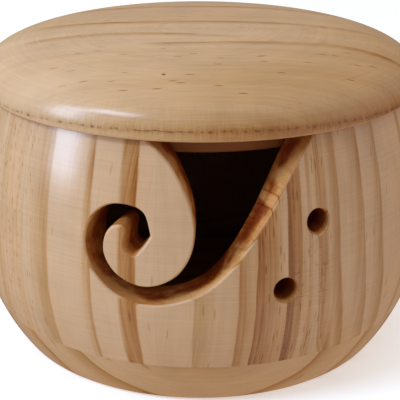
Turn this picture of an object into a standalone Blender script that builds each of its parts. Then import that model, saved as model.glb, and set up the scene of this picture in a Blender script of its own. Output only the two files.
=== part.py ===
"""Lidded wooden yarn bowl: six glued staves on a base disc, a spiral yarn slot, and a lift-off lid.

Metres, +Z up. The origin is the centre of the flat underside, and -Y is the front, where the slot is.
"""
import math
from collections import namedtuple

import bmesh
import bpy
from mathutils import Vector

# Each turned side is two arcs that meet at its widest point.
Side = namedtuple("Side", "radius widest_z lower_arc upper_arc")
OUTSIDE = Side(0.0800, 0.0440, 0.0730, 0.1430)
INSIDE = Side(0.0660, 0.0500, 0.0620, 0.1460)
RIM_Z = 0.0906
FOOT_ROUND = 0.0040
FLOOR_Z = 0.0120
FLOOR_ROUND = 0.0040
# Straight bore at the rim, which takes the lid's plug.
BORE_RADIUS = 0.0610

# Glued blank: flat-sawn boards round a base disc. The first joint is left of the front.
STAVE_COUNT = 6
STAVE_ANGLE = math.radians(360.0 / STAVE_COUNT)
FIRST_JOINT = math.radians(-9.8)
BASE_JOINT_Z = 0.0173
GAP = 0.0003

# Lid: a domed disc with a plug under it that drops into the bore.
LID_RADIUS = 0.0748
LID_SEAT_Z = RIM_Z + GAP
LID_DOME = 0.0171
LID_SQUARENESS = 3.2
PLUG_RADIUS = 0.0604
PLUG_DEPTH = 0.0080
PLUG_CHAMFER = 0.0010

# Two needle holes beside the slot: angle from the front, height, and their one diameter.
HOLE_DIAMETER = 0.0076
HOLES = ((math.radians(27.1), 0.0646), (math.radians(19.1), 0.0444))

# Yarn slot, drawn in millimetres on the flat plane that touches the bowl's front, and projected
# radially through the wall. The outer edge runs from the pocket over the curl to the rim at the right.
SLOT_PLANE = 0.0800
SLOT_OUTER = (
    (-15.2, 62.6), (-17.4, 69.0), (-22.2, 71.1), (-29.0, 71.0), (-35.0, 67.9), (-38.6, 62.0),
    (-38.4, 55.4), (-34.8, 48.9), (-28.5, 43.8), (-20.0, 40.9), (-10.0, 41.2), (0.0, 44.8),
    (7.0, 50.2), (13.0, 56.8), (20.0, 66.2), (28.0, 77.2), (34.5, 84.2), (44.5, 92.3),
)
# The tongue's edge runs from the rim down its right side, round the bottom and up to the blunt tip.
TONGUE_EDGE = (
    (-20.5, 91.9), (-14.0, 87.9), (-8.9, 83.1), (-5.1, 77.0), (-2.3, 70.2), (-1.4, 63.6),
    (-2.9, 56.6), (-7.0, 50.5), (-13.6, 46.9), (-20.5, 46.7), (-27.5, 50.1), (-31.5, 55.6),
    (-31.3, 61.0), (-28.6, 64.6), (-25.0, 65.1), (-23.4, 63.2), (-24.0, 59.8), (-23.2, 57.4),
    (-20.9, 56.4), (-18.2, 58.4),
)
SLOT_STEPS = 2
SLOT_DEPTHS = (0.0450, 0.1000)

SEGMENT = math.radians(5.0)
ARC_STEPS = 6
DOME_STEPS = 11
MERGE = 0.00001

PALE_PINE = (0.72, 0.50, 0.31)
PINK_PINE = (0.70, 0.47, 0.30)
TAN_PINE = (0.64, 0.43, 0.25)
HONEY_PINE = (0.62, 0.42, 0.22)


def clear_scene():
    for item in list(bpy.data.objects):
        bpy.data.objects.remove(item, do_unlink=True)


def new_collection(name):
    collection = bpy.data.collections.new(name)
    bpy.context.scene.collection.children.link(collection)
    return collection


def wood(name, colour):
    material = bpy.data.materials.new(name)
    material.use_nodes = True
    shader = material.node_tree.nodes["Principled BSDF"]
    shader.inputs["Base Color"].default_value = (*colour, 1.0)
    shader.inputs["Roughness"].default_value = 0.32
    shader.inputs["Metallic"].default_value = 0.0
    return material


def link_mesh(name, mesh, collection, material=None):
    item = bpy.data.objects.new(name, mesh)
    collection.objects.link(item)
    if material:
        mesh.materials.append(material)
    return item


def radius_at(side, z):
    arc = side.lower_arc if z < side.widest_z else side.upper_arc
    return side.radius - arc + math.sqrt(arc ** 2 - (z - side.widest_z) ** 2)


def side_points(side, z_start, z_end, steps):
    heights = [z_start + (z_end - z_start) * i / steps for i in range(steps + 1)]
    return [(radius_at(side, z), z) for z in heights]


def corner_round(side, level, rounding, steps=3):
    """Rounding between a flat level and the side above it, from the level up to the side."""
    centre_z = level + rounding
    drop = side.widest_z - centre_z
    reach = side.lower_arc - rounding
    centre_r = side.radius - side.lower_arc + math.sqrt(reach ** 2 - drop ** 2)
    end = -math.asin(drop / reach)
    points = []
    for i in range(steps + 1):
        angle = -0.5 * math.pi + (end + 0.5 * math.pi) * i / steps
        points.append((centre_r + rounding * math.cos(angle), centre_z + rounding * math.sin(angle)))
    return points


def turned(name, profile, closed, collection, sweep=2.0 * math.pi, start=-0.5 * math.pi):
    """Turn a profile of (radius, z) points about the Z axis from the start angle."""
    mesh = bpy.data.meshes.new(name)
    points = [(r * math.cos(start), r * math.sin(start), z) for r, z in profile]
    edges = [(i, i + 1) for i in range(len(points) - 1)]
    if closed:
        edges.append((len(points) - 1, 0))
    mesh.from_pydata(points, edges, [])
    item = link_mesh(name, mesh, collection)
    screw = item.modifiers.new("Turn", "SCREW")
    screw.angle = sweep
    screw.steps = round(sweep / SEGMENT)
    screw.render_steps = screw.steps
    screw.use_merge_vertices = True
    screw.merge_threshold = MERGE
    return item


def make_mesh(item):
    """Replace an object's mesh by its evaluated one, with the modifiers used up."""
    graph = bpy.context.evaluated_depsgraph_get()
    mesh = bpy.data.meshes.new_from_object(item.evaluated_get(graph))
    item.modifiers.clear()
    item.data = mesh
    mesh.name = item.name


def cap_ends(item):
    shape = bmesh.new()
    shape.from_mesh(item.data)
    bmesh.ops.holes_fill(shape, edges=shape.edges, sides=0)
    bmesh.ops.recalc_face_normals(shape, faces=shape.faces)
    shape.to_mesh(item.data)
    shape.free()


def smooth(item):
    item.data.shade_smooth()
    item.data.set_sharp_from_angle(angle=math.radians(30.0))


def wall_profile():
    """Closed section of the stave wall: down the outside, then up the inside to the bore."""
    bottom_z = BASE_JOINT_Z + 0.5 * GAP
    arc_at_bore = BORE_RADIUS - INSIDE.radius + INSIDE.upper_arc
    bore_z = INSIDE.widest_z + math.sqrt(INSIDE.upper_arc ** 2 - arc_at_bore ** 2)
    points = side_points(OUTSIDE, RIM_Z, OUTSIDE.widest_z, ARC_STEPS)
    points += side_points(OUTSIDE, OUTSIDE.widest_z, bottom_z, ARC_STEPS)[1:]
    points += side_points(INSIDE, bottom_z, INSIDE.widest_z, ARC_STEPS)
    points += side_points(INSIDE, INSIDE.widest_z, bore_z, ARC_STEPS - 1)[1:]
    return points + [(BORE_RADIUS, RIM_Z)]


def stave(index, name, collection, material):
    """One stave between two glue joints, with half the glue gap taken off each side."""
    half_gap = 0.5 * GAP / OUTSIDE.radius
    start = FIRST_JOINT + index * STAVE_ANGLE - 0.5 * math.pi + half_gap
    item = turned(name, wall_profile(), True, collection, STAVE_ANGLE - 2.0 * half_gap, start)
    make_mesh(item)
    cap_ends(item)
    item.data.materials.append(material)
    return item


def base_disc(collection):
    """Disc under the staves, with a rounded foot and the turned floor of the bowl in its top."""
    top_z = BASE_JOINT_Z - 0.5 * GAP
    foot = corner_round(OUTSIDE, 0.0, FOOT_ROUND)
    floor = corner_round(INSIDE, FLOOR_Z, FLOOR_ROUND)
    profile = [(0.0, FLOOR_Z), *floor, (radius_at(INSIDE, top_z), top_z)]
    profile += side_points(OUTSIDE, top_z, foot[-1][1], 4)
    profile += [*reversed(foot[:-1]), (0.0, 0.0)]
    item = turned("base_disc", profile, False, collection)
    make_mesh(item)
    item.data.materials.append(wood("base_pine", PINK_PINE))
    return item


def dome_points():
    """Superellipse dome from the crown to the lid's lower edge, measured from the seat."""
    points = []
    for i in range(DOME_STEPS + 1):
        angle = 0.5 * math.pi * (1.0 - i / DOME_STEPS)
        radius = LID_RADIUS * max(math.cos(angle), 0.0) ** (2.0 / LID_SQUARENESS)
        height = LID_DOME * max(math.sin(angle), 0.0) ** (2.0 / LID_SQUARENESS)
        points.append((radius if i else 0.0, height))
    return points


def lid(collection):
    """Domed lid and its plug, turned from one board. The object's origin is on the lift axis."""
    profile = dome_points()
    profile += [(PLUG_RADIUS, 0.0), (PLUG_RADIUS, PLUG_CHAMFER - PLUG_DEPTH)]
    profile += [(PLUG_RADIUS - PLUG_CHAMFER, -PLUG_DEPTH), (0.0, -PLUG_DEPTH)]
    item = turned("lid", profile, False, collection)
    make_mesh(item)
    item.data.materials.append(wood("lid_pine", HONEY_PINE))
    item.location = (0.0, 0.0, LID_SEAT_Z)
    return item


def smooth_line(points):
    """Points along a Catmull-Rom curve through the given ones, turned from millimetres to metres."""
    knots = [0.001 * Vector(point) for point in (points[0], *points, points[-1])]
    line = []
    for before, start, end, after in zip(knots, knots[1:], knots[2:], knots[3:]):
        for i in range(SLOT_STEPS):
            t = i / SLOT_STEPS
            bend = (2.0 * before - 5.0 * start + 4.0 * end - after) * t ** 2
            twist = (3.0 * start - before - 3.0 * end + after) * t ** 3
            line.append(0.5 * (2.0 * start + (end - before) * t + bend + twist))
    return line


def slot_cutter(collection):
    """Loft of the slot's outline between a plane inside the cavity and one in front of the bowl."""
    rim_end = 0.001 * Vector(SLOT_OUTER[-1])
    outline = [*smooth_line(SLOT_OUTER), rim_end, *smooth_line((*TONGUE_EDGE, SLOT_OUTER[0]))]
    count = len(outline)
    shape = bmesh.new()
    rings = []
    for depth in SLOT_DEPTHS:
        rings.append([shape.verts.new((u * depth / SLOT_PLANE, -depth, z)) for u, z in outline])
    back, front = rings
    for i in range(count):
        j = (i + 1) % count
        shape.faces.new((back[i], front[i], front[j]))
        shape.faces.new((back[i], front[j], back[j]))
    shape.faces.new(back)
    shape.faces.new(list(reversed(front)))
    bmesh.ops.recalc_face_normals(shape, faces=shape.faces)
    mesh = bpy.data.meshes.new("slot_cutter")
    shape.to_mesh(mesh)
    shape.free()
    return as_cutter(link_mesh("slot_cutter", mesh, collection))


def hole_cutter(number, angle, z, collection):
    middle = 0.5 * (radius_at(OUTSIDE, z) + radius_at(INSIDE, z))
    wall = OUTSIDE.radius - INSIDE.radius
    bpy.ops.mesh.primitive_cylinder_add(vertices=24, radius=0.5 * HOLE_DIAMETER, depth=3.0 * wall)
    item = bpy.context.object
    item.name = f"hole_cutter_{number}"
    item.rotation_euler = (0.5 * math.pi, 0.0, angle)
    item.location = (middle * math.sin(angle), -middle * math.cos(angle), z)
    for owner in list(item.users_collection):
        owner.objects.unlink(item)
    collection.objects.link(item)
    return as_cutter(item)


def as_cutter(item):
    item.hide_render = True
    item.display_type = "WIRE"
    return item


def cut(item, cutters):
    for cutter in cutters:
        boolean = item.modifiers.new(cutter.name, "BOOLEAN")
        boolean.operation = "DIFFERENCE"
        boolean.solver = "EXACT"
        boolean.object = cutter
    make_mesh(item)


def part_off_tongue(item):
    """The slot frees the tongue's strip of the front stave, which becomes its own piece."""
    bpy.ops.object.select_all(action="DESELECT")
    item.select_set(True)
    bpy.context.view_layer.objects.active = item
    bpy.ops.object.mode_set(mode="EDIT")
    bpy.ops.mesh.select_all(action="SELECT")
    bpy.ops.mesh.separate(type="LOOSE")
    bpy.ops.object.mode_set(mode="OBJECT")
    pieces = sorted(bpy.context.selected_objects, key=lambda piece: len(piece.data.polygons))
    pieces[0].name = "front_stave_tongue"
    pieces[0].data.name = pieces[0].name
    pieces[-1].name = "front_stave"
    pieces[-1].data.name = pieces[-1].name


def build():
    clear_scene()
    parts = new_collection("yarn_bowl")
    cutters = new_collection("cutters")
    stave_woods = (
        ("front_stave", TAN_PINE),
        ("right_stave", PALE_PINE),
        ("rear_right_stave", TAN_PINE),
        ("rear_stave", PINK_PINE),
        ("rear_left_stave", PALE_PINE),
        ("left_stave", PINK_PINE),
    )
    staves = {}
    for index, (name, colour) in enumerate(stave_woods):
        staves[name] = stave(index, name, parts, wood(f"{name}_pine", colour))
    slot = slot_cutter(cutters)
    holes = [hole_cutter(i + 1, angle, z, cutters) for i, (angle, z) in enumerate(HOLES)]
    cut(staves["left_stave"], [slot])
    cut(staves["front_stave"], [slot, *holes])
    part_off_tongue(staves["front_stave"])
    base_disc(parts)
    lid(parts)
    for item in parts.objects:
        smooth(item)


build()
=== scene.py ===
import math
import random
from collections import namedtuple

import bmesh
import bpy
from mathutils import Matrix, Vector


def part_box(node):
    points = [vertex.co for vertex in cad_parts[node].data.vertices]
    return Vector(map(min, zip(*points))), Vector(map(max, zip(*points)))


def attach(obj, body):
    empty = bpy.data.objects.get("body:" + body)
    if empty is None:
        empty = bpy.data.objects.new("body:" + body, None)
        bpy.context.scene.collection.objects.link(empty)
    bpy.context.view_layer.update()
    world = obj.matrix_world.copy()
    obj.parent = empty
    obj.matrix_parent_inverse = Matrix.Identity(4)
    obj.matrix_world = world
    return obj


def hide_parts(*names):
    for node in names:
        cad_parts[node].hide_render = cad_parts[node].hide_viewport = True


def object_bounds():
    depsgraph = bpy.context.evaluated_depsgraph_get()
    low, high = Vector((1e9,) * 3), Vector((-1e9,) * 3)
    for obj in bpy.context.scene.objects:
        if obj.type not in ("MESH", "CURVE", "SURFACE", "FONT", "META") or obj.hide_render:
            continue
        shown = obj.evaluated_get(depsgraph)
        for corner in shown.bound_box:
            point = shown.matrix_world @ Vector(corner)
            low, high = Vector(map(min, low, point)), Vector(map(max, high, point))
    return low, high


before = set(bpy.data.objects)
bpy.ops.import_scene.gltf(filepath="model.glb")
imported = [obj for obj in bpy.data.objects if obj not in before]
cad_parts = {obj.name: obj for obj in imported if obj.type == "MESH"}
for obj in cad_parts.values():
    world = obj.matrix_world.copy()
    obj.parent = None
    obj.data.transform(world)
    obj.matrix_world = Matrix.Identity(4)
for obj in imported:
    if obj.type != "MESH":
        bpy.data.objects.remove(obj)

CAD_LOW, CAD_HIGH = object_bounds()
MM = 0.001

# Sizes that the frame gives.
BOWL_RADIUS = 0.5 * (CAD_HIGH.x - CAD_LOW.x)
RIM_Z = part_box("right_stave")[1].z
JOINT_Z = 0.5 * (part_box("right_stave")[0].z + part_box("base_disc")[1].z)
LID_LOW, LID_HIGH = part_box("lid")
LID_RADIUS = LID_HIGH.x

# Each turned side is two arcs that meet at its widest point, as in the CAD.
Side = namedtuple("Side", "radius widest_z lower_arc upper_arc")
OUTSIDE = Side(BOWL_RADIUS, 0.0440, 0.0730, 0.1430)
INSIDE = Side(0.0660, 0.0500, 0.0620, 0.1460)
FLOOR_Z = 0.0120
FOOT_ROUND = 0.0040
BORE_RADIUS = 0.0610
RIM_ROUND = 0.0008
BORE_ROUND = 0.0006

LID_SEAT_Z = RIM_Z + 0.0003
LID_SQUARENESS = 3.2
LID_EDGE_ROUND = 0.0007
PLUG_RADIUS = 0.0604
PLUG_ROUND = 0.0010

STAVE_DEGREES = 60.0
FIRST_JOINT = -9.8
GLUE_LINE = 0.00002
STAVES = ("front_stave", "right_stave", "rear_right_stave", "rear_stave", "rear_left_stave", "left_stave")

# The yarn slot on the flat plane that touches the bowl's front, in millimetres, as in the CAD.
SLOT_PLANE = 80.0
SLOT_OUTER = (
    (-15.2, 62.6), (-17.4, 69.0), (-22.2, 71.1), (-29.0, 71.0), (-35.0, 67.9), (-38.6, 62.0),
    (-38.4, 55.4), (-34.8, 48.9), (-28.5, 43.8), (-20.0, 40.9), (-10.0, 41.2), (0.0, 44.8),
    (7.0, 50.2), (13.0, 56.8), (20.0, 66.2), (28.0, 77.2), (34.5, 84.2), (44.5, 92.3),
)
TONGUE_EDGE = (
    (-20.5, 91.9), (-14.0, 87.9), (-8.9, 83.1), (-5.1, 77.0), (-2.3, 70.2), (-1.4, 63.6),
    (-2.9, 56.6), (-7.0, 50.5), (-13.6, 46.9), (-20.5, 46.7), (-27.5, 50.1), (-31.5, 55.6),
    (-31.3, 61.0), (-28.6, 64.6), (-25.0, 65.1), (-23.4, 63.2), (-24.0, 59.8), (-23.2, 57.4),
    (-20.9, 56.4), (-18.2, 58.4),
)
HOLE_RADIUS = 0.0038
HOLES = ((27.1, 0.0646), (19.1, 0.0444))

# Sanded lip of every cut, and how finely things are turned.
LIP = 0.0010
LIP_TURN = math.radians(60.0)
LIP_STEPS = 4
STEP_DEGREES = 1.5
LINE_STEPS = 6
RIM_STEPS = 30
SHARP_ANGLE = math.radians(38.0)
ON_SURFACE = 0.00003

# Wood tones from the palest early wood to the darkest late wood, as linear colour.
WOOD_TONES = (
    (0.00, (0.650, 0.403, 0.231)),
    (0.35, (0.530, 0.290, 0.124)),
    (0.70, (0.415, 0.166, 0.038)),
    (1.00, (0.262, 0.082, 0.010)),
)

# A growth ring: azimuth of its sharp late-wood edge, width of the dark late wood, width of the fading
# side, darkness, and the direction in which the tree grew (+1 towards higher azimuth).
Ring = namedtuple("Ring", "edge late fade dark grows")
FRONT_RINGS = (
    Ring(-0.9, 0.5, 4.4, 0.42, -1), Ring(8.8, 0.7, 3.0, 0.66, -1), Ring(12.6, 0.6, 6.4, 0.88, -1),
    Ring(19.6, 1.9, 1.8, 0.86, -1), Ring(24.6, 0.3, 0.9, 0.34, -1), Ring(27.1, 0.5, 2.2, 0.60, -1),
    Ring(32.6, 0.9, 4.2, 0.60, 1), Ring(40.0, 1.1, 3.8, 0.48, 1), Ring(46.4, 1.1, 3.2, 0.44, 1),
)
LEFT_RINGS = (
    Ring(-62.0, 0.8, 3.0, 0.24, -1), Ring(-54.0, 0.6, 2.6, 0.16, -1), Ring(-47.0, 0.3, 1.8, 0.10, -1),
    Ring(-36.6, 1.5, 5.4, 0.44, 1), Ring(-24.9, 0.6, 1.6, 0.54, 1), Ring(-14.2, 3.3, 1.0, 0.76, 1),
)
RING_SHARP = 0.22
# How far the tree's pith is from the bowl's axis, in millimetres.
PITH_RADIUS = 40.0

# Colour of open pores, as linear colour.
PORE_TONE = (0.100, 0.042, 0.012)

# Tints where the wood is turned but not varnished: inside the bowl, bare wood darkened further with painted
# shade; on the lid's plug and underside, painted shade.
BARE_AND_SHADE_TINT = (0.70, 0.53, 0.38)
PLUG_SHADE_TINT = (0.50, 0.30, 0.17)

# Tones of routed faces, from oil-steeped to dry, whose light end also carries painted light near the outside;
# and the painted light along the slot's low bend.
ROUTED_TONES = (
    (0.36, (0.44, 0.150, 0.05)),
    (0.47, (0.72, 0.36, 0.13)),
    (0.56, (1.00, 0.82, 0.46)),
    (0.64, (1.20, 1.13, 0.80)),
)
BEND_LIGHT_TINT = (1.25, 1.40, 1.8)
# Reddish stain of the front stave's late wood.
STAIN_TINT = (0.93, 0.80, 0.60)

# Painted shade inside the drilled holes: where it lies, across from the stave's centre and in height.
HOLE_SHADE_TINT = (0.54, 0.31, 0.27)
HOLES_ACROSS = (-11.0, -8.5)
HOLES_TOP = 69.5

# Tints of the pinker and the browner staves, each between two tones, and of the base and the lid.
PINK = ((1.0, 1.0, 1.0), (1.02, 0.95, 0.86))
TAN = ((0.94, 0.91, 0.83), (1.0, 0.97, 0.94))
BASE_TINT = (1.0, 0.95, 0.86)
HONEY = ((0.3, (1.04, 1.03, 0.97)), (0.7, (1.04, 1.05, 1.05)))

# Strength of the clear coat on each kind of piece, its least roughness, and the depth of both bumps.
STAVE_GLOSS, BASE_GLOSS, LID_GLOSS = 0.85, 0.8, 0.62
COAT_ROUGH, LID_COAT_ROUGH = 0.10, 0.14
WOOD_BUMP, COAT_BUMP = 0.00006, 0.000015

# The lid's late-wood lines: (x, y) points in millimetres, from and to in x, and darkness.
LidLine = namedtuple("LidLine", "points start end dark")
LID_LINES = (
    LidLine(((-80, 7.0), (-30, 8.3), (10, 9.4), (45, 5), (80, 1)), -62.0, 66.0, 0.50),
    LidLine(((-80, -15.5), (-50, -10.6), (-20, -8.6), (10, -12), (80, -18)), -64.0, 16.0, 0.52),
    LidLine(((-80, -23), (-10, -22.4), (25, -20), (50, -21), (80, -32)), -22.0, 72.0, 0.52),
    LidLine(((-80, 30), (-40, 36), (0, 38.5), (35, 35), (80, 28)), -58.0, 60.0, 0.45),
)
LID_LINE_WIDTH = 5.0
LID_LINE_TAPER = 14.0
BASE_RING_PITCH = 13.0

# Studio: softboxes by azimuth and elevation round the bowl, and the camera's own viewing angle.
FLOOR_GLOW = 0.42
Softbox = namedtuple("Softbox", "azimuth elevation distance width height watts")
SOFTBOXES = (
    Softbox(-69.2, 20.0, 1.10, 0.30, 0.75, 6.0),
    Softbox(-52.0, 45.0, 1.20, 0.40, 0.26, 4.4),
)
DAYLIGHT = (0.74, 0.99, 1.36)

# Surroundings: the colour of each part of the light, and its strength as a product of ramps, each along
# an axis, from and to on the axis, and the strength at each.
SKY = (
    ((1.00, 1.00, 0.96), (("Z", 0.5, 1.0, 0.0, 0.72),)),
    ((1.00, 0.97, 0.94), (("Y", 0.0, 1.0, 0.10, 0.36), ("Z", -0.15, 0.05, 0.10, 1.0))),
    ((1.00, 0.97, 0.94), (("Y", -1.0, 0.1, 0.13, 0.0),)),
    ((0.90, 1.00, 1.16), (("X", -1.0, 0.2, 0.10, 0.0), ("Z", -0.15, 0.05, 0.10, 1.0))),
    ((1.00, 0.95, 0.88), (("X", 0.0, 1.0, 0.0, 0.34),)),
    ((0.40, 0.75, 1.50), (("X", 0.4, 1.0, 0.0, 0.13),)),
    ((1.00, 0.88, 0.74), (("Z", -0.60, 0.05, 0.70, 0.0), ("Y", -0.2, 0.8, 1.0, 0.1))),
)

# The camera looks at the middle of the bowl, with the focal length and sensor in millimetres.
AIM = Vector((0.0, 0.0, OUTSIDE.widest_z))
VIEW_ELEVATION = 21.43
VIEW_DISTANCE = 0.4111
VIEW_ROLL = 0.16
LENS = 101.43
SENSOR = 36.0


def arc_radius(side, z):
    arc = side.lower_arc if z < side.widest_z else side.upper_arc
    return side.radius - arc + math.sqrt(arc ** 2 - (z - side.widest_z) ** 2)


def inner_radius(z):
    return arc_radius(INSIDE, z) if z < BORE_START_Z else BORE_RADIUS


def bore_start():
    arc = INSIDE.upper_arc
    return INSIDE.widest_z + math.sqrt(arc ** 2 - (BORE_RADIUS - INSIDE.radius + arc) ** 2)


BORE_START_Z = bore_start()


def side_points(side, z_start, z_end, steps):
    heights = [z_start + (z_end - z_start) * i / steps for i in range(steps + 1)]
    return [(arc_radius(side, z), z) for z in heights]


def round_points(centre, radius, start, end, steps=5):
    """Arc of a profile about a centre, from one angle to another in degrees."""
    angles = [math.radians(start + (end - start) * i / steps) for i in range(steps + 1)]
    return [(centre[0] + radius * math.cos(a), centre[1] + radius * math.sin(a)) for a in angles]


def side_round(side, level, rounding, steps=5):
    """Rounding between a flat level and the side, in order from the level to the side."""
    upper = level > side.widest_z
    arc = side.upper_arc if upper else side.lower_arc
    centre_z = level - rounding if upper else level + rounding
    rise = centre_z - side.widest_z
    reach = arc - rounding
    centre_r = side.radius - arc + math.sqrt(reach ** 2 - rise ** 2)
    start = 90.0 if upper else -90.0
    return round_points((centre_r, centre_z), rounding, start, math.degrees(math.asin(rise / reach)), steps)


def wall_profile():
    """Closed section of the wall: up the outside, over the rim, and down the bore and the inside."""
    bottom_z = JOINT_Z + 0.5 * GLUE_LINE
    rim = list(reversed(side_round(OUTSIDE, RIM_Z, RIM_ROUND)))
    points = side_points(OUTSIDE, bottom_z, OUTSIDE.widest_z, 16)
    points += side_points(OUTSIDE, OUTSIDE.widest_z, rim[0][1], 26)[1:-1]
    points += rim
    points += round_points((BORE_RADIUS + BORE_ROUND, RIM_Z - BORE_ROUND), BORE_ROUND, 90.0, 180.0)
    points.append((BORE_RADIUS, BORE_START_Z))
    points += side_points(INSIDE, BORE_START_Z, INSIDE.widest_z, 16)[1:]
    points += side_points(INSIDE, INSIDE.widest_z, bottom_z, 14)[1:]
    return points


def base_profile():
    """From the underside's centre round the foot, up to the glue joint, and in to the bowl's floor."""
    top_z = JOINT_Z - 0.5 * GLUE_LINE
    foot = side_round(OUTSIDE, 0.0, FOOT_ROUND, 8)
    points = [(0.0, 0.0), (0.3 * foot[0][0], 0.0), (0.7 * foot[0][0], 0.0), *foot]
    points += side_points(OUTSIDE, foot[-1][1], top_z, 14)[1:]
    floor = list(reversed(side_round(INSIDE, FLOOR_Z, FOOT_ROUND, 8)))
    points += side_points(INSIDE, top_z, floor[0][1], 3)
    return points + floor[1:] + [(0.5 * floor[-1][0], FLOOR_Z), (0.0, FLOOR_Z)]


def lid_profile():
    """From the crown over the dome to the lid's lower edge, and under it round the plug."""
    points = []
    height = LID_HIGH.z - LID_SEAT_Z
    steps = 56
    for i in range(steps + 1):
        angle = 0.5 * math.pi * (1.0 - i / steps)
        r = LID_RADIUS * max(math.cos(angle), 0.0) ** (2.0 / LID_SQUARENESS) if i else 0.0
        z = LID_SEAT_Z + height * max(math.sin(angle), 0.0) ** (2.0 / LID_SQUARENESS)
        if z > LID_SEAT_Z + LID_EDGE_ROUND:
            points.append((r, z))
    edge = (LID_RADIUS - LID_EDGE_ROUND, LID_SEAT_Z + LID_EDGE_ROUND)
    points += round_points(edge, LID_EDGE_ROUND, 0.0, -90.0)
    points += [(PLUG_RADIUS, LID_SEAT_Z)]
    points += round_points((PLUG_RADIUS - PLUG_ROUND, LID_LOW.z + PLUG_ROUND), PLUG_ROUND, 0.0, -90.0)
    return points + [(0.5 * PLUG_RADIUS, LID_LOW.z), (0.0, LID_LOW.z)]


def finish_mesh(shape, name):
    bmesh.ops.remove_doubles(shape, verts=shape.verts, dist=1e-7)
    bmesh.ops.recalc_face_normals(shape, faces=shape.faces)
    mesh = bpy.data.meshes.new(name)
    shape.to_mesh(mesh)
    shape.free()
    item = bpy.data.objects.new(name, mesh)
    bpy.context.scene.collection.objects.link(item)
    return item


def turned(name, profile, start=0.0, sweep=360.0):
    """Turn a profile of (radius, z) points about Z. Azimuths are degrees from the front, towards +X."""
    shape = bmesh.new()
    steps = round(sweep / STEP_DEGREES)
    whole = sweep >= 360.0
    columns = []
    for i in range(steps if whole else steps + 1):
        azimuth = math.radians(start + sweep * i / steps)
        turn = (math.sin(azimuth), -math.cos(azimuth))
        columns.append([shape.verts.new((r * turn[0], r * turn[1], z)) for r, z in profile])
    spans = list(zip(columns, columns[1:] + columns[:1] if whole else columns[1:]))
    count = len(profile)
    for near, far in spans:
        for i in range(count - 1 if whole else count):
            j = (i + 1) % count
            shape.faces.new((near[i], far[i], far[j], near[j]))
    if not whole:
        shape.faces.new(columns[0])
        shape.faces.new(list(reversed(columns[-1])))
    return finish_mesh(shape, name)


def smooth_line(points):
    """Points along a Catmull-Rom curve through the given ones."""
    knots = [Vector(point) for point in (points[0], *points, points[-1])]
    line = []
    for before, start, end, after in zip(knots, knots[1:], knots[2:], knots[3:]):
        for i in range(LINE_STEPS):
            t = i / LINE_STEPS
            bend = (2.0 * before - 5.0 * start + 4.0 * end - after) * t ** 2
            twist = (3.0 * start - before - 3.0 * end + after) * t ** 3
            line.append(0.5 * (2.0 * start + (end - before) * t + bend + twist))
    return line


def slot_outline():
    """The slot's closed outline as (arc length, height) points on the bowl's widest radius, in metres."""
    right, left = Vector(SLOT_OUTER[-1]), Vector(TONGUE_EDGE[0])
    over_rim = [right.lerp(left, i / RIM_STEPS) for i in range(RIM_STEPS)]
    flat = [*smooth_line(SLOT_OUTER), *over_rim, *smooth_line((*TONGUE_EDGE, SLOT_OUTER[0]))]
    return [Vector((BOWL_RADIUS * math.atan(u / SLOT_PLANE), MM * z)) for u, z in flat]


def hole_outline(azimuth, z, steps=48):
    centre = Vector((BOWL_RADIUS * math.radians(azimuth), z))
    turns = [2.0 * math.pi * i / steps for i in range(steps)]
    return [centre + HOLE_RADIUS * Vector((math.cos(a), math.sin(a))) for a in turns]


def widened(outline, amount):
    """The outline moved outwards by an amount, along the normals of its own points."""
    count = len(outline)
    area = sum(outline[i - 1].cross(outline[i]) for i in range(count))
    side = 1.0 if area > 0.0 else -1.0
    moved = []
    for i in range(count):
        along = (outline[(i + 1) % count] - outline[i - 1]).normalized()
        moved.append(outline[i] + side * amount * Vector((along.y, -along.x)))
    return moved


def lip_steps():
    """(depth under the surface, widening) pairs of a rounded lip, from above the surface inwards."""
    wide = LIP * (1.0 - math.cos(LIP_TURN)) + LIP * (1.0 - math.sin(LIP_TURN)) * math.tan(LIP_TURN)
    steps = [(-4.0 * LIP, wide), (-0.02 * LIP, wide)]
    for i in range(LIP_STEPS + 1):
        turn = LIP_TURN * (1.0 - i / LIP_STEPS)
        steps.append((LIP * (1.0 - math.sin(turn)), LIP * (1.0 - math.cos(turn))))
    return steps


def wall_cutter(name, outline):
    """Radial cutter through the wall whose ends flare into rounded lips, outside and inside."""
    shape = bmesh.new()
    rings = []
    for depth, widening in lip_steps():
        ring = []
        for s, z in widened(outline, widening):
            ring.append((s / BOWL_RADIUS, arc_radius(OUTSIDE, z) - depth, z))
        rings.append(ring)
    for depth, widening in reversed(lip_steps()):
        ring = []
        for s, z in widened(outline, widening):
            ring.append((s / BOWL_RADIUS, inner_radius(z) + depth, z))
        rings.append(ring)
    loops = []
    for ring in rings:
        loops.append([shape.verts.new((r * math.sin(a), -r * math.cos(a), z)) for a, r, z in ring])
    count = len(outline)
    for outer, inner in zip(loops, loops[1:]):
        for i in range(count):
            j = (i + 1) % count
            shape.faces.new((outer[i], outer[j], inner[j], inner[i]))
    for loop in (loops[0], loops[-1]):
        bmesh.ops.triangle_fill(shape, use_beauty=True, edges=loop_edges(shape, loop))
    return finish_mesh(shape, name)


def loop_edges(shape, loop):
    return [shape.edges.get((loop[i - 1], loop[i])) for i in range(len(loop))]


def cut(item, cutters):
    for cutter in cutters:
        boolean = item.modifiers.new(cutter.name, "BOOLEAN")
        boolean.operation = "DIFFERENCE"
        boolean.solver = "EXACT"
        boolean.object = cutter
    graph = bpy.context.evaluated_depsgraph_get()
    mesh = bpy.data.meshes.new_from_object(item.evaluated_get(graph))
    item.modifiers.clear()
    item.data = mesh
    mesh.name = item.name


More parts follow.
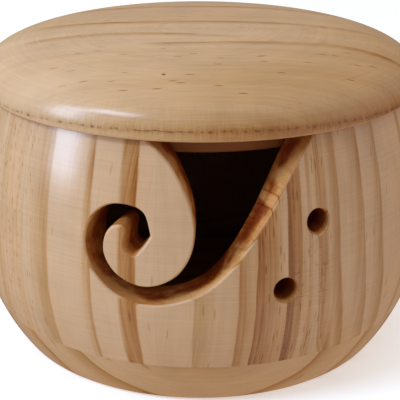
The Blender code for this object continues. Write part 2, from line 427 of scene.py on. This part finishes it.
def split_loose(item, small_name):
    """Move the smaller of an object's two loose parts into an object of its own."""
    shape = bmesh.new()
    shape.from_mesh(item.data)
    shape.verts.ensure_lookup_table()
    found = {shape.verts[0]}
    front = [shape.verts[0]]
    while front:
        vert = front.pop()
        for edge in vert.link_edges:
            other = edge.other_vert(vert)
            if other not in found:
                found.add(other)
                front.append(other)
    rest = [vert for vert in shape.verts if vert not in found]
    small = rest if len(rest) < len(found) else list(found)
    small_indices = {vert.index for vert in small}
    piece = item.copy()
    piece.data = item.data.copy()
    piece.name = small_name
    bpy.context.scene.collection.objects.link(piece)
    for target, keep_small in ((item, False), (piece, True)):
        drop_verts(target.data, small_indices, keep_small)
    shape.free()
    return piece


def drop_verts(mesh, indices, keep):
    shape = bmesh.new()
    shape.from_mesh(mesh)
    gone = [vert for vert in shape.verts if (vert.index in indices) != keep]
    bmesh.ops.delete(shape, geom=gone, context="VERTS")
    shape.to_mesh(mesh)
    shape.free()


def turned_normal(point):
    """Outward normal of the bowl's turned outside at a point on it, or None off it."""
    radius = math.hypot(point.x, point.y)
    if abs(radius - arc_radius(OUTSIDE, point.z)) > ON_SURFACE:
        return None
    arc = OUTSIDE.lower_arc if point.z < OUTSIDE.widest_z else OUTSIDE.upper_arc
    rise = (point.z - OUTSIDE.widest_z) / arc
    level = math.sqrt(1.0 - rise ** 2)
    return Vector((level * point.x / radius, level * point.y / radius, rise))


def polish(item, on_outside=False):
    """Shade smooth, and give faces on the turned outside the exact normals of their arcs."""
    mesh = item.data
    mesh.shade_smooth()
    mesh.set_sharp_from_angle(angle=SHARP_ANGLE)
    if not on_outside:
        return
    exact = [turned_normal(vert.co) for vert in mesh.vertices]
    normals = [Vector((0.0, 0.0, 0.0))] * len(mesh.loops)
    for face in mesh.polygons:
        if all(exact[i] is not None for i in face.vertices):
            for loop in face.loop_indices:
                normals[loop] = exact[mesh.loops[loop].vertex_index]
    mesh.normals_split_custom_set(normals)


def feed(socket, value):
    """Link another node's output to an input socket, or set its value."""
    if isinstance(value, bpy.types.NodeSocket):
        socket.id_data.links.new(value, socket)
    else:
        socket.default_value = value


class Wood:
    """Node tree of one wood, with a short call for each kind of node."""

    def __init__(self, name):
        self.material = bpy.data.materials.new(name)
        self.material.use_nodes = True
        self.tree = self.material.node_tree
        self.shader = self.tree.nodes["Principled BSDF"]
        place = self.add("ShaderNodeTexCoord").outputs["Object"]
        scaled = self.add("ShaderNodeVectorMath", {0: place, 1: (1.0 / MM,) * 3}, operation="MULTIPLY")
        self.place = scaled.outputs[0]
        self.x, self.y, self.z = self.add("ShaderNodeSeparateXYZ", {0: self.place}).outputs
        self.turn = self.math("SQRT", self.sum(self.times(self.x, self.x), self.times(self.y, self.y)))

    def add(self, kind, values=None, **settings):
        node = self.tree.nodes.new(kind)
        for key, value in settings.items():
            setattr(node, key, value)
        for key, value in (values or {}).items():
            feed(node.inputs[key], value)
        return node

    def math(self, operation, *values, **settings):
        return self.add("ShaderNodeMath", dict(enumerate(values)), operation=operation, **settings).outputs[0]

    def times(self, a, b):
        return self.math("MULTIPLY", a, b)

    def sum(self, *values):
        total = values[0]
        for value in values[1:]:
            total = self.math("ADD", total, value)
        return total

    def less(self, a, b):
        return self.math("SUBTRACT", a, b)

    def vector(self, x, y, z):
        return self.add("ShaderNodeCombineXYZ", {0: x, 1: y, 2: z}).outputs[0]

    def noise(self, vector, detail=2.0, roughness=0.5, scale=1.0, warp=0.0):
        values = {"Vector": vector, "Scale": scale, "Detail": detail, "Roughness": roughness,
                  "Distortion": warp}
        return self.add("ShaderNodeTexNoise", values).outputs["Fac"]

    def smooth(self, value, low, high, start=0.0, end=1.0):
        """Smooth step of a value between two levels, from a start to an end result."""
        values = {0: value, 1: low, 2: high, 3: start, 4: end}
        return self.add("ShaderNodeMapRange", values, interpolation_type="SMOOTHSTEP").outputs[0]

    def ramp(self, value, stops):
        """Colour ramp through (position, colour or grey) stops."""
        node = self.add("ShaderNodeValToRGB", {0: value})
        elements = node.color_ramp.elements
        elements.remove(elements[1])
        for i, (position, tone) in enumerate(stops):
            stop = elements[0] if i == 0 else elements.new(position)
            stop.position = position
            stop.color = (*tone, 1.0) if isinstance(tone, tuple) else (tone, tone, tone, 1.0)
        return node.outputs[0]

    def curve(self, value, points):
        """Smooth curve through points, both axes in the range 0 to 1."""
        node = self.add("ShaderNodeFloatCurve", {1: value})
        line = node.mapping.curves[0]
        line.points[0].location = points[0]
        line.points[1].location = points[-1]
        for point in points[1:-1]:
            line.points.new(*point)
        node.mapping.update()
        return node.outputs[0]

    def blend(self, share, first, second, mode="MIX"):
        node = self.tree.nodes.new("ShaderNodeMix")
        node.data_type = "RGBA"
        node.blend_type = mode
        for index, value in ((0, share), (6, first), (7, second)):
            if isinstance(value, tuple):
                value = (*value, 1.0)
            feed(node.inputs[index], value)
        return node.outputs[2]

    def tinted(self, colour, tone):
        return self.blend(1.0, colour, tone, "MULTIPLY")

    def spread(self, noise, amount):
        """Noise about its middle, times an amount."""
        return self.times(self.less(noise, 0.5), amount)

    def window(self, value, low, low_end, high, high_end, outside=0.0):
        """1 from low_end to high, falling off to 0 at low and to the outside level at high_end."""
        return self.times(self.smooth(value, low, low_end), self.smooth(value, high, high_end, 1.0, outside))

    def bump(self, height, distance):
        return self.add("ShaderNodeBump", {"Distance": distance, "Height": height}).outputs[0]

    def streaks(self, across, along, width, length, **detail):
        """Noise drawn out along the grain: across and along are fields in millimetres."""
        return self.noise(self.vector(self.times(across, 1.0 / width), self.times(along, 1.0 / length), 0.0),
                          **detail)


def ring_ramp(wood, azimuth, rings, centre):
    """Darkness of the late wood by azimuth, from the rings on one side of a stave's centre."""
    reach = 36.0
    stops = []
    for ring in rings:
        inner = ring.edge - ring.grows * ring.late
        fade = inner - ring.grows * ring.fade
        past = ring.edge + ring.grows * RING_SHARP
        stops += [(fade, 0.0), (inner, 0.8 * ring.dark), (ring.edge, ring.dark), (past, 0.0)]
    stops.sort()
    placed = [((turn - centre + reach) / (2.0 * reach), dark) for turn, dark in stops]
    share = wood.times(wood.sum(azimuth, reach - centre), 0.5 / reach)
    return wood.ramp(share, placed)


def side_radius(wood, side):
    """Radius of a turned side at this height, in millimetres."""
    upper = wood.math("GREATER_THAN", wood.z, side.widest_z / MM)
    arc_gain = (side.upper_arc - side.lower_arc) / MM
    arc = wood.sum(wood.times(upper, arc_gain), side.lower_arc / MM)
    rise = wood.less(wood.z, side.widest_z / MM)
    root = wood.less(wood.times(arc, arc), wood.times(rise, rise))
    level = wood.math("SQRT", wood.math("MAXIMUM", root, 0.0))
    radius = wood.sum(wood.less(side.radius / MM, arc), level)
    if side is INSIDE:
        radius = wood.math("MAXIMUM", radius, wood.times(upper, BORE_RADIUS / MM))
    return radius


def ring_azimuth(wood, centre, outer, bends):
    """Azimuth in degrees where the ring through a point comes out of the turned outside."""
    sine, cosine = math.sin(math.radians(centre)), math.cos(math.radians(centre))
    outward = wood.less(wood.times(wood.x, sine), wood.times(wood.y, cosine))
    across = wood.sum(wood.times(wood.x, cosine), wood.times(wood.y, sine))
    depth = wood.less(outward, PITH_RADIUS)
    ring = wood.sum(wood.times(across, across), wood.times(depth, depth))
    top = wood.less(wood.sum(wood.times(outer, outer), PITH_RADIUS ** 2), ring)
    cosine_out = wood.math("MINIMUM", wood.math("DIVIDE", top, wood.times(outer, 2.0 * PITH_RADIUS)), 1.0)
    swing = wood.times(wood.math("ARCCOSINE", cosine_out), 180.0 / math.pi)
    side = wood.math("SIGN", across)
    low = wood.math("MAXIMUM", wood.times(wood.less(60.0, wood.z), 1.0 / 40.0), 0.0)
    share = wood.times(wood.times(low, low), wood.smooth(swing, 1.0, 12.0))
    to_right = wood.math("GREATER_THAN", across, 0.0)
    bend = wood.sum(wood.times(to_right, bends[1] - bends[0]), bends[0])
    swing = wood.math("MAXIMUM", wood.less(swing, wood.times(share, bend)), 0.0)
    wander = wood.noise(wood.vector(wood.times(across, 0.12), wood.times(wood.z, 0.028), centre))
    waver = wood.noise(wood.vector(wood.times(across, 0.5), wood.times(wood.z, 0.09), centre))
    shift = wood.sum(wood.spread(wander, 0.6), wood.spread(waver, 0.45))
    return wood.sum(wood.times(side, swing), centre, shift), across


def flecks(wood, across, along, width, length, rarity, slant=0.0):
    """Short dark resin dashes along the grain, 0 to 1, rarer as rarity nears 1."""
    leaning = wood.sum(across, wood.times(along, slant))
    cells = wood.vector(wood.times(leaning, 1.0 / width), wood.times(along, 1.0 / length), 0.0)
    node = wood.add("ShaderNodeTexVoronoi", {"Vector": cells, "Scale": 1.0}, voronoi_dimensions="2D")
    chance = wood.add("ShaderNodeSeparateColor", {0: node.outputs["Color"]}).outputs[0]
    inside = wood.smooth(node.outputs["Distance"], 0.10, 0.24, 1.0, 0.0)
    return wood.times(inside, wood.math("GREATER_THAN", chance, rarity))


def front_azimuth(wood):
    """Azimuth from the front, towards +X, in radians."""
    return wood.math("ARCTAN2", wood.x, wood.times(wood.y, -1.0))


def finish(wood, colour, fibre, dark, gloss, raw, coat_rough=COAT_ROUGH):
    """Clear coat over the wood: glossy on the sanded outside, duller and rougher where it is cut."""
    shader = wood.shader.inputs
    turn = wood.times(front_azimuth(wood), 1.6)
    sanding = wood.noise(wood.vector(turn, wood.times(wood.turn, 0.6), wood.times(wood.z, 1.9)),
                         detail=4.0, roughness=0.7, warp=0.9)
    wear = wood.noise(wood.place, detail=4.0, scale=0.09)
    worn = wood.sum(1.0, wood.spread(sanding, 0.34), wood.spread(wear, 0.22))
    worn_colour = wood.add("ShaderNodeVectorMath", {0: colour, 3: worn}, operation="SCALE").outputs[0]
    feed(shader["Base Color"], worn_colour)
    rough = wood.sum(wood.times(sanding, 0.10), wood.times(wear, 0.16), 0.24, wood.times(raw, 0.30))
    feed(shader["Roughness"], rough)
    facing = wood.add("ShaderNodeLayerWeight", {"Blend": 0.5}).outputs["Facing"]
    feed(shader["Specular IOR Level"], wood.smooth(facing, 0.30, 0.75, 0.22, 0.04))
    satin = wood.times(wood.smooth(facing, 0.20, 0.62, 1.0, 0.05), gloss)
    feed(shader["Coat Weight"], wood.times(wood.less(1.0, wood.times(raw, 0.85)), satin))
    coat_rough = wood.sum(wood.times(wear, 0.05), wood.times(sanding, 0.10), coat_rough)
    feed(shader["Coat Roughness"], coat_rough)
    height = wood.sum(fibre, wood.times(dark, -0.6))
    feed(shader["Normal"], wood.bump(wood.sum(height, wood.times(sanding, 0.15)), WOOD_BUMP))
    feed(shader["Coat Normal"], wood.bump(wood.sum(wood.times(height, 0.5), sanding), COAT_BUMP))
    return wood.material


def routed(wood, colour, depth):
    """Reddish tone of routed faces, steeped in oil and mottled along the grain, with painted light near the
    outside and painted shade further in, more painted light to the right, and painted light along the slot's
    low bend.
    """
    mottle = wood.noise(wood.vector(wood.times(wood.x, 0.12), wood.times(wood.y, 0.12),
                                    wood.times(wood.z, 0.11)), detail=4.0, roughness=0.55)
    # Painted light near the outside, painted shade deeper in, and painted light towards the right.
    mottle = wood.sum(mottle, wood.smooth(depth, 2.0, 8.0, 0.13, -0.05),
                      wood.smooth(wood.x, 5.0, 32.0, 0.0, 0.05))
    steeped_and_painted_light = wood.ramp(mottle, ROUTED_TONES)
    # Painted light along the slot's low bend.
    bend = wood.window(wood.x, -22.0, 4.0, 20.0, 30.0, 0.15)
    return wood.tinted(colour, wood.blend(bend, steeped_and_painted_light, wood.tinted(steeped_and_painted_light, BEND_LIGHT_TINT)))


def scratches(wood, across):
    """Faint, nearly level tool scratches on the patch round the lower needle hole."""
    place = wood.vector(wood.times(across, 0.10), 0.0, wood.times(wood.z, 0.55))
    lines = wood.noise(place, detail=2.0, warp=0.3)
    thin = wood.smooth(wood.math("ABSOLUTE", wood.less(lines, 0.5)), 0.0, 0.014, 1.0, 0.0)
    patch = wood.times(wood.window(across, -4.0, 0.0, 9.0, 14.0), wood.window(wood.z, 34.0, 40.0, 56.0, 62.0))
    return wood.times(wood.times(thin, patch), 0.42)


def late_wood(wood, azimuth, depth, centre, rings, fibre, grain):
    """Darkness of a stave's growth rings, broken up along the grain and faint in cut faces."""
    sides = [[r for r in rings if r.edge < centre], [r for r in rings if r.edge >= centre]]
    dark = wood.sum(*[ring_ramp(wood, azimuth, side, centre) for side in sides if side])
    dark = wood.times(dark, wood.sum(0.30, wood.times(grain, 0.95), wood.times(fibre, 0.55)))
    dark = wood.times(dark, wood.smooth(depth, 0.3, 1.2, 1.0, 0.12))
    return wood.sum(dark, wood.spread(fibre, 0.36), wood.spread(grain, 0.26))


def resin(wood, azimuth, across, zone, slant, dash_size):
    """Darkness of the resin: dashes and pitch in one zone of azimuth, and stray dashes anywhere."""
    inside = wood.window(azimuth, zone[0] - 1.5, zone[0], zone[1], zone[1] + 1.5)
    dash = flecks(wood, across, wood.z, *dash_size, 0.72, slant)
    stray = flecks(wood, across, wood.z, 1.6, 11.0, 0.95)
    pitch = wood.smooth(wood.streaks(across, wood.z, 1.1, 34.0, detail=3.0, roughness=0.6), 0.48, 0.66)
    return wood.sum(wood.times(wood.times(dash, inside), 0.46), wood.times(stray, 0.30),
                    wood.times(wood.times(pitch, inside), 0.18))


def stained(wood, colour, azimuth, across):
    """Reddish stain along the front stave's late wood, right of the slot."""
    band = wood.window(azimuth, 6.0, 12.0, 30.0, 37.0)
    stain = wood.smooth(wood.streaks(across, wood.z, 4.0, 40.0, detail=3.0), 0.38, 0.62)
    return wood.blend(wood.times(wood.times(band, stain), 0.9), colour, wood.tinted(colour, STAIN_TINT))


def worked(wood, colour, depth, across, bored):
    """Tones of a stave away from its outside: bare inside with painted shade, steeped in oil where routed
    with painted light and shade, and painted shade inside the drilled holes.
    """
    raw = wood.smooth(depth, 0.25, 0.9)
    in_wall = wood.smooth(wood.less(wood.turn, side_radius(wood, INSIDE)), 0.1, 0.6)
    below_rim = wood.smooth(wood.z, RIM_Z / MM - 0.7, RIM_Z / MM - 0.2, 1.0, 0.0)
    cut_share = wood.times(raw, wood.times(in_wall, below_rim))
    # Bare wood, darkened with painted shade, inside the wall and on cut faces.
    colour = wood.blend(raw, colour, wood.tinted(colour, BARE_AND_SHADE_TINT))
    colour = wood.blend(cut_share, colour, routed(wood, colour, depth))
    if not bored:
        return colour
    # Painted shade inside the drilled holes.
    by_holes = wood.times(wood.smooth(across, *HOLES_ACROSS),
                          wood.smooth(wood.z, HOLES_TOP, HOLES_TOP + 1.0, 1.0, 0.0))
    share = wood.times(wood.times(by_holes, cut_share), wood.smooth(depth, 0.8, 3.0))
    return wood.blend(share, colour, wood.tinted(colour, HOLE_SHADE_TINT))


def stave_wood(name, centre, rings, tint, bends, zone=None, slant=0.0, dash_size=(1.15, 9.0), bored=False):
    """Flat-sawn pine with the heart side in and the grain upright."""
    wood = Wood(name)
    outer = side_radius(wood, OUTSIDE)
    depth = wood.less(outer, wood.turn)
    azimuth, across = ring_azimuth(wood, centre, outer, bends)
    fibre = wood.streaks(across, wood.z, 0.55, 22.0, detail=3.0, roughness=0.6)
    grain = wood.streaks(across, wood.z, 1.8, 60.0, detail=2.0)
    dark = late_wood(wood, azimuth, depth, centre, rings, fibre, grain)
    zone = zone or (centre - 14.0, centre + 12.0)
    dark = wood.sum(dark, resin(wood, azimuth, across, zone, slant, dash_size))
    if bored:
        dark = wood.sum(dark, scratches(wood, across))
    colour = wood.ramp(dark, WOOD_TONES)
    cloud = wood.streaks(across, wood.z, 7.0, 90.0, detail=2.0)
    colour = wood.tinted(colour, wood.ramp(cloud, ((0.35, tint[0]), (0.65, tint[1]))))
    if bored:
        colour = stained(wood, colour, azimuth, across)
    colour = worked(wood, colour, depth, across, bored)
    return finish(wood, colour, fibre, dark, STAVE_GLOSS, wood.smooth(depth, 0.02, 0.15))


def rear_rings(draw, middle, centre):
    """Made-up rings on both sides of a stave's centre."""
    rings = []
    for side in (-1, 1):
        turn = centre + side * draw.uniform(5.0, 8.0)
        while abs(turn - middle) < 0.5 * STAVE_DEGREES and len(rings) < 12:
            late, fade = draw.uniform(0.4, 1.6), draw.uniform(1.6, 3.6)
            rings.append(Ring(turn, late, fade, draw.uniform(0.45, 0.72), side))
            turn += side * draw.uniform(5.5, 8.5)
    return rings


def stave_materials():
    """One wood for each stave: the two that are known ring by ring, and four with rings of their own."""
    woods = {
        "front_stave": stave_wood("front_pine", 22.0, FRONT_RINGS, TAN, (0.9, 4.0), (13.5, 29.0), bored=True),
        "left_stave": stave_wood("left_pine", -43.0, LEFT_RINGS, PINK, (4.0, 0.6), (-68.0, -42.5), 0.12,
                                 (1.0, 4.6)),
    }
    draw = random.Random(11)
    for index, name in enumerate(STAVES[1:-1], 1):
        middle = FIRST_JOINT + (index + 0.5) * STAVE_DEGREES
        centre = middle + draw.uniform(-6.0, 6.0)
        rings = rear_rings(draw, middle, centre)
        bends = (draw.uniform(0.8, 3.0), draw.uniform(0.8, 3.0))
        woods[name] = stave_wood(f"{name}_pine", centre, rings, PINK if index % 2 else TAN, bends)
    return woods


def lid_line(wood, line):
    """One late-wood line across the lid, sharp behind and fading to the front."""
    span = 160.0
    share = wood.sum(wood.times(wood.x, 1.0 / span), 0.5)
    placed = [(0.5 + x / span, 0.5 + y / span) for x, y in line.points]
    level = wood.times(wood.less(wood.curve(share, placed), 0.5), span)
    away = wood.less(wood.y, level)
    behind = wood.smooth(away, 0.0, 0.9, 1.0, 0.0)
    front = wood.smooth(away, -LID_LINE_WIDTH, 0.0)
    ends = wood.window(wood.x, line.start, line.start + LID_LINE_TAPER, line.end - LID_LINE_TAPER, line.end)
    return wood.times(wood.times(wood.times(behind, front), ends), line.dark)


def rim_pores(wood):
    """Tone along the lid's edge with painted shade low on the right, and its dark pore row: solid just left
    of the front, dashed elsewhere.
    """
    azimuth = front_azimuth(wood)
    level = wood.sum(wood.times(wood.math("COSINE", wood.times(azimuth, 2.0)), 1.53), 1.77)
    waver = wood.noise(wood.vector(wood.times(azimuth, 14.0), 0.0, 0.0), detail=3.0)
    height = wood.less(wood.z, LID_SEAT_Z / MM)
    away = wood.math("ABSOLUTE", wood.less(wood.less(height, level), wood.spread(waver, 1.5)))
    beads = wood.noise(wood.vector(wood.times(azimuth, 38.0), 3.0, 0.0), detail=3.0, roughness=0.6)
    thick = wood.smooth(beads, 0.45, 0.72, 0.18, 0.95)
    line = wood.math("SUBTRACT", 1.0, wood.math("DIVIDE", away, thick), use_clamp=True)
    dashes = wood.smooth(beads, 0.47, 0.58, 0.0, 0.85)
    solid = wood.window(wood.x, -21.0, -18.0, -6.0, 0.0)
    row = wood.times(line, wood.math("MAXIMUM", dashes, wood.times(solid, 0.9)))
    near_row = wood.times(wood.smooth(away, 0.6, 2.6, 1.0, 0.0), wood.smooth(wood.x, 0.0, 25.0, 0.25, 0.8))
    around = wood.times(azimuth, LID_RADIUS / MM)
    specks = wood.times(flecks(wood, height, around, 0.95, 1.5, 0.76), near_row)
    rim = wood.times(wood.smooth(wood.turn, 69.0, 72.0), wood.smooth(height, 0.2, 0.8))
    return rim_tone(wood, azimuth, height, away, rim), wood.times(wood.sum(row, specks), rim)


def rim_tone(wood, azimuth, height, away, rim):
    """Darkness along the lid's edge: a haze by the pore row, upright strokes, and painted shade low on the
    right.
    """
    faint = wood.times(wood.smooth(away, 0.2, 1.6, 1.0, 0.0), 0.16)
    place = wood.vector(wood.times(azimuth, 130.0), wood.times(height, 0.16), 0.0)
    strokes = wood.noise(place, detail=3.0, warp=0.5)
    strokes = wood.times(wood.less(strokes, 0.5), wood.smooth(away, 0.5, 3.5, 0.55, 0.22))
    # Painted shade: darker low on the rim, more so towards the right.
    lower = wood.times(wood.smooth(height, 1.0, 8.0, 0.30, 0.0), wood.smooth(wood.x, -35.0, 30.0, 0.0, 1.0))
    return wood.times(wood.sum(faint, strokes, lower), rim)


def knot(wood, centre, radius):
    """A small round pin knot at a point in millimetres."""
    away = wood.add("ShaderNodeVectorMath", {0: wood.place, 1: centre}, operation="DISTANCE").outputs["Value"]
    return wood.smooth(away, 0.4 * radius, radius, 1.0, 0.0)


def lid_grain(wood):
    """Fibre of the lid's board, and the darkness of its grain, late-wood lines and resin dashes."""
    sway = wood.spread(wood.noise(wood.vector(wood.times(wood.x, 0.018), 2.0, 0.0)), 7.0)
    level = wood.sum(wood.y, sway, wood.times(wood.z, 0.4))
    fibre = wood.streaks(level, wood.x, 0.5, 16.0, detail=4.0, roughness=0.65)
    bands = wood.streaks(level, wood.x, 7.0, 160.0, detail=2.0)
    grain = wood.streaks(level, wood.x, 1.6, 50.0, detail=3.0)
    broken = wood.streaks(level, wood.x, 3.0, 26.0, detail=3.0, roughness=0.6)
    lines = wood.sum(*[lid_line(wood, line) for line in LID_LINES])
    lines = wood.times(lines, wood.smooth(broken, 0.35, 0.62, 0.45, 1.0))
    inward = wood.smooth(wood.turn, 66.0, 71.0, 1.0, 0.0)
    open_zone = wood.times(wood.smooth(wood.y, -30.0, -22.0, 1.0, 0.55), inward)
    dash = wood.times(flecks(wood, level, wood.x, 1.5, 8.0, 0.90), open_zone)
    return fibre, wood.sum(0.01, lines, wood.spread(bands, 0.30), wood.spread(grain, 0.24),
                           wood.spread(fibre, 0.34), wood.times(dash, 0.60))


def lid_wood():
    """One flat-sawn board with its grain along X, honey-toned, with pores along the turned edge."""
    wood = Wood("lid_pine")
    fibre, dark = lid_grain(wood)
    edge, pores = rim_pores(wood)
    dot = knot(wood, (-11.0, -54.0, 0.998 * LID_HIGH.z / MM - 1.6), 1.1)
    spot = knot(wood, (17.0, -73.4, LID_SEAT_Z / MM + 2.2), 0.7)
    # Painted shade: the lid darker towards the front and right, and towards the back.
    forward_shade = wood.smooth(wood.less(wood.times(wood.x, 0.8), wood.y), 5.0, 90.0, 0.0, 0.37)
    back_shade = wood.smooth(wood.y, -20.0, 25.0, 0.0, 0.15)
    dark = wood.sum(dark, forward_shade, back_shade, edge, wood.times(spot, 0.7))
    colour = wood.ramp(dark, WOOD_TONES)
    cloud = wood.noise(wood.place, detail=2.0, scale=0.03)
    colour = wood.tinted(colour, wood.ramp(cloud, HONEY))
    colour = wood.blend(wood.math("MAXIMUM", wood.times(pores, 0.85), dot), colour, PORE_TONE)
    # Painted shade on the lid's plug and underside.
    under = wood.smooth(wood.z, LID_SEAT_Z / MM - 0.3, LID_SEAT_Z / MM + 0.1, 1.0, 0.0)
    colour = wood.blend(under, colour, wood.tinted(colour, PLUG_SHADE_TINT))
    return finish(wood, colour, fibre, dark, LID_GLOSS, under, LID_COAT_ROUGH)


def base_wood():
    """Board under the staves with its grain along X and its rings nearly upright."""
    wood = Wood("base_pine")
    place = wood.vector(wood.times(wood.x, 0.02), wood.times(wood.z, 0.03), 5.0)
    level = wood.sum(wood.y, wood.spread(wood.noise(place), 5.0), wood.times(wood.z, -0.06))
    count = wood.times(wood.sum(level, 65.2 + 10.0 * BASE_RING_PITCH), -1.0 / BASE_RING_PITCH)
    late = wood.math("POWER", wood.math("FRACT", wood.sum(count, 40.0)), 4.0)
    fibre = wood.streaks(level, wood.x, 0.6, 24.0, detail=3.0, roughness=0.6)
    grain = wood.streaks(level, wood.x, 2.4, 70.0, detail=2.0)
    dash = flecks(wood, level, wood.x, 2.0, 9.0, 0.90)
    dark = wood.sum(wood.times(late, 0.62), wood.spread(fibre, 0.26), wood.spread(grain, 0.26), 0.05,
                    wood.times(dash, 0.35))
    colour = wood.tinted(wood.ramp(dark, WOOD_TONES), BASE_TINT)
    depth = wood.less(side_radius(wood, OUTSIDE), wood.turn)
    raw = wood.times(wood.smooth(depth, 1.5, 3.0), wood.smooth(wood.z, 4.0, 6.0))
    # Bare wood inside the bowl, darkened with painted shade.
    colour = wood.blend(raw, colour, wood.tinted(colour, BARE_AND_SHADE_TINT))
    return finish(wood, colour, fibre, dark, BASE_GLOSS, raw)


def dress(piece, node, material):
    """Give a finished piece its wood, and put it in the frame in its node's place."""
    piece.data.materials.clear()
    piece.data.materials.append(material)
    body = "lid" if node == "lid" else "bowl"
    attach(piece, body)
    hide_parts(node)


def make_staves():
    woods = stave_materials()
    glue = math.degrees(0.5 * GLUE_LINE / BOWL_RADIUS)
    slot = wall_cutter("slot_cutter", slot_outline())
    holes = [wall_cutter(f"hole_cutter_{i}", hole_outline(*hole)) for i, hole in enumerate(HOLES)]
    cutters = {"front_stave": [slot, *holes], "left_stave": [slot]}
    for index, node in enumerate(STAVES):
        start = FIRST_JOINT + index * STAVE_DEGREES + glue
        piece = turned(f"turned_{node}", wall_profile(), start, STAVE_DEGREES - 2.0 * glue)
        if node in cutters:
            cut(piece, cutters[node])
        if node == "front_stave":
            tongue = split_loose(piece, "turned_front_stave_tongue")
            polish(tongue, True)
            dress(tongue, "front_stave_tongue", woods[node])
        polish(piece, True)
        dress(piece, node, woods[node])
    for cutter in (slot, *holes):
        bpy.data.objects.remove(cutter, do_unlink=True)


def make_base_and_lid():
    base = turned("turned_base_disc", base_profile())
    polish(base)
    dress(base, "base_disc", base_wood())
    lid = turned("turned_lid", lid_profile())
    polish(lid)
    dress(lid, "lid", lid_wood())


def make_floor():
    reach = 6.0
    corners = [(-reach, -reach, 0.0), (reach, -reach, 0.0), (reach, reach, 0.0), (-reach, reach, 0.0)]
    mesh = bpy.data.meshes.new("floor")
    mesh.from_pydata(corners, [], [(0, 1, 2, 3)])
    floor = bpy.data.objects.new("floor", mesh)
    bpy.context.scene.collection.objects.link(floor)
    paint = bpy.data.materials.new("pale_floor")
    paint.use_nodes = True
    shader = paint.node_tree.nodes["Principled BSDF"].inputs
    shader["Base Color"].default_value = (0.80, 0.80, 0.80, 1.0)
    shader["Roughness"].default_value = 0.9
    shader["Emission Color"].default_value = (1.0, 1.0, 1.0, 1.0)
    shader["Emission Strength"].default_value = FLOOR_GLOW
    mesh.materials.append(paint)
    # The bowl is lit from below by the surroundings, so the floor only shows and takes its shadow.
    floor.visible_diffuse = False
    floor.visible_glossy = False
    floor.visible_shadow = False


def direction(azimuth, elevation):
    """Unit vector from the bowl: azimuth in degrees from the front towards +X, and elevation."""
    level = math.cos(math.radians(elevation))
    turn = math.radians(azimuth)
    return Vector((level * math.sin(turn), -level * math.cos(turn), math.sin(math.radians(elevation))))


def aimed(data, name, place, roll=0.0):
    item = bpy.data.objects.new(name, data)
    bpy.context.scene.collection.objects.link(item)
    item.rotation_mode = "QUATERNION"
    look = (AIM - place).to_track_quat("-Z", "Y")
    item.rotation_quaternion = look @ Matrix.Rotation(math.radians(roll), 3, "Z").to_quaternion()
    item.location = place
    return item


def make_lights():
    for i, box in enumerate(SOFTBOXES):
        light = bpy.data.lights.new(f"softbox_{i}", "AREA")
        light.shape = "RECTANGLE"
        light.size = box.width
        light.size_y = box.height
        light.energy = box.watts
        light.color = DAYLIGHT
        aimed(light, f"softbox_{i}", AIM + box.distance * direction(box.azimuth, box.elevation))


def fill(node, *values):
    """Link or set the first inputs of a node."""
    for socket, value in zip(node.inputs, values):
        feed(socket, value)


def make_surroundings():
    """Soft sky: brightest overhead, paler behind the bowl than in front of it."""
    world = bpy.data.worlds.new("studio")
    bpy.context.scene.world = world
    world.use_nodes = True
    tree = world.node_tree
    place = tree.nodes.new("ShaderNodeTexCoord")
    split = tree.nodes.new("ShaderNodeSeparateXYZ")
    tree.links.new(place.outputs["Generated"], split.inputs[0])
    total = (0.0, 0.0, 0.0)
    for tone, ramps in SKY:
        strength = tone
        for axis, *limits in ramps:
            part = tree.nodes.new("ShaderNodeMapRange")
            fill(part, split.outputs[axis], *limits)
            product = tree.nodes.new("ShaderNodeVectorMath")
            product.operation = "MULTIPLY"
            fill(product, part.outputs[0], strength)
            strength = product.outputs[0]
        added = tree.nodes.new("ShaderNodeVectorMath")
        fill(added, strength, total)
        total = added.outputs[0]
    fill(tree.nodes["Background"], total)


def make_camera():
    data = bpy.data.cameras.new("camera")
    data.sensor_width = SENSOR
    data.lens = LENS
    data.clip_start = 0.01
    place = AIM + VIEW_DISTANCE * direction(0.0, VIEW_ELEVATION)
    bpy.context.scene.camera = aimed(data, "camera", place, VIEW_ROLL)


make_camera()
make_staves()
make_base_and_lid()
make_floor()
make_lights()
make_surroundings()
bpy.context.scene.view_settings.view_transform = "Standard"
